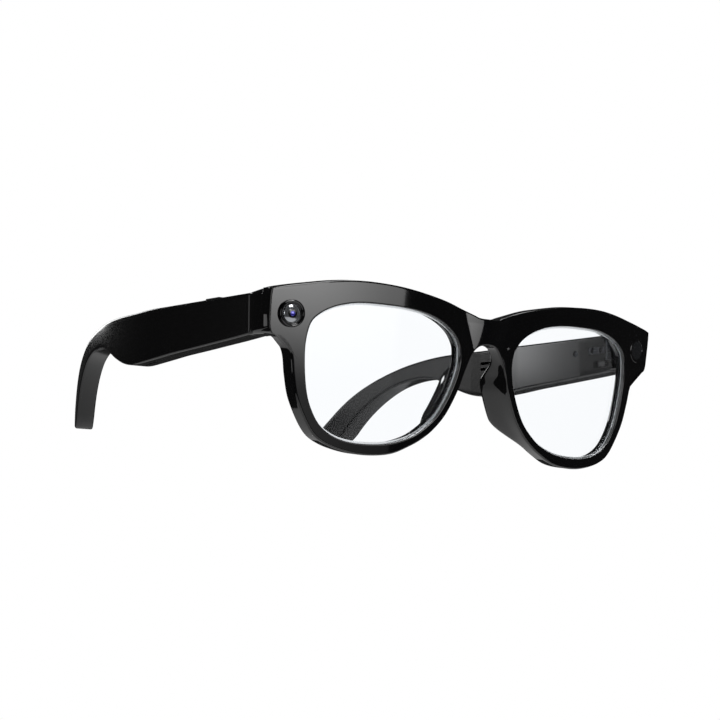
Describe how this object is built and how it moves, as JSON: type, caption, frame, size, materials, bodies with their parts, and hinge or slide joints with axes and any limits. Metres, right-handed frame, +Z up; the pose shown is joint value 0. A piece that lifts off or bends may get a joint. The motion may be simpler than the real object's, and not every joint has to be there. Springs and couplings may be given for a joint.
{
  "type": "smart glasses",
  "caption": "Wrapped plastic eyeglass frame with clear lenses, a small camera and an indicator light in its end pieces, and two folding temples with built-in speakers and controls.",
  "frame": {"origin": "middle of the saddle under the bridge, where the glasses sit on the nose", "axes": "+Z up as worn, the front faces -Y and the temples run back along +Y, +X is the wearer's left"},
  "size_m": [0.1462, 0.1343, 0.0479],
  "materials": {
    "frame": "polished",
    "lens": "clear, anti-reflective",
    "shell": "satin",
    "cover": "satin",
    "bezel": "gloss ring",
    "window": "coated dome",
    "optics": "coated",
    "barrel": "blackened",
    "light": "smoked",
    "board": "solder mask",
    "flex": "polyimide",
    "hinge": "brushed",
    "screw": "plated",
    "shield": "stamped",
    "speaker": "moulded",
    "contact": "gold plated",
    "cell": "pouch foil",
    "core": "drawn wire",
    "button": "semi-gloss",
    "switch": "fine texture"
  },
  "bodies": {
    "front": {"front_frame": "frame", "lens_right": "lens", "lens_left": "lens", "brow_cover": "cover", "front_flex": "flex", "camera_bezel": "bezel", "camera_window": "window", "camera_barrel": "barrel", "camera_lens": "optics", "camera_board": "board", "light_bezel": "bezel", "light_window": "light", "light_board": "board", "front_hinge_right": "hinge", "front_hinge_left": "hinge", "hinge_pins": "screw", "anchor_screws": "screw"},
    "temple_right": {"temple_shell_right": "shell", "temple_cover_right": "cover", "temple_hinge_right": "hinge", "temple_screws_right": "screw", "core_right": "core", "main_board": "board", "board_shield": "shield", "touch_film": "flex", "speaker_right": "speaker", "tact_switch": "switch", "charge_contacts": "contact"},
    "capture_button": {"capture_button": "button"},
    "temple_left": {"temple_shell_left": "shell", "temple_cover_left": "cover", "temple_hinge_left": "hinge", "temple_screws_left": "screw", "core_left": "core", "battery": "cell", "battery_board": "board", "speaker_left": "speaker", "switch_base": "switch"},
    "power_switch": {"power_switch": "switch"}
  },
  "joints": [
    {"name": "fold_right", "type": "hinge", "parent": "front", "child": "temple_right", "pos_m": [-0.0645, 0.01314, 0.0055], "axis": [0, 0, -1], "range_deg": [0, 65]},
    {"name": "fold_left", "type": "hinge", "parent": "front", "child": "temple_left", "pos_m": [0.0645, 0.01314, 0.0055], "axis": [0, 0, 1], "range_deg": [0, 82]},
    {"name": "press_capture", "type": "slide", "parent": "temple_right", "child": "capture_button", "axis": [0, 0, -1], "range_m": [0, 0.0004], "stiffness_N_per_m": 2500, "springref_m": -0.0002},
    {"name": "slide_power", "type": "slide", "parent": "temple_left", "child": "power_switch", "axis": [0, 1, 0], "range_m": [0, 0.002]}
  ]
}
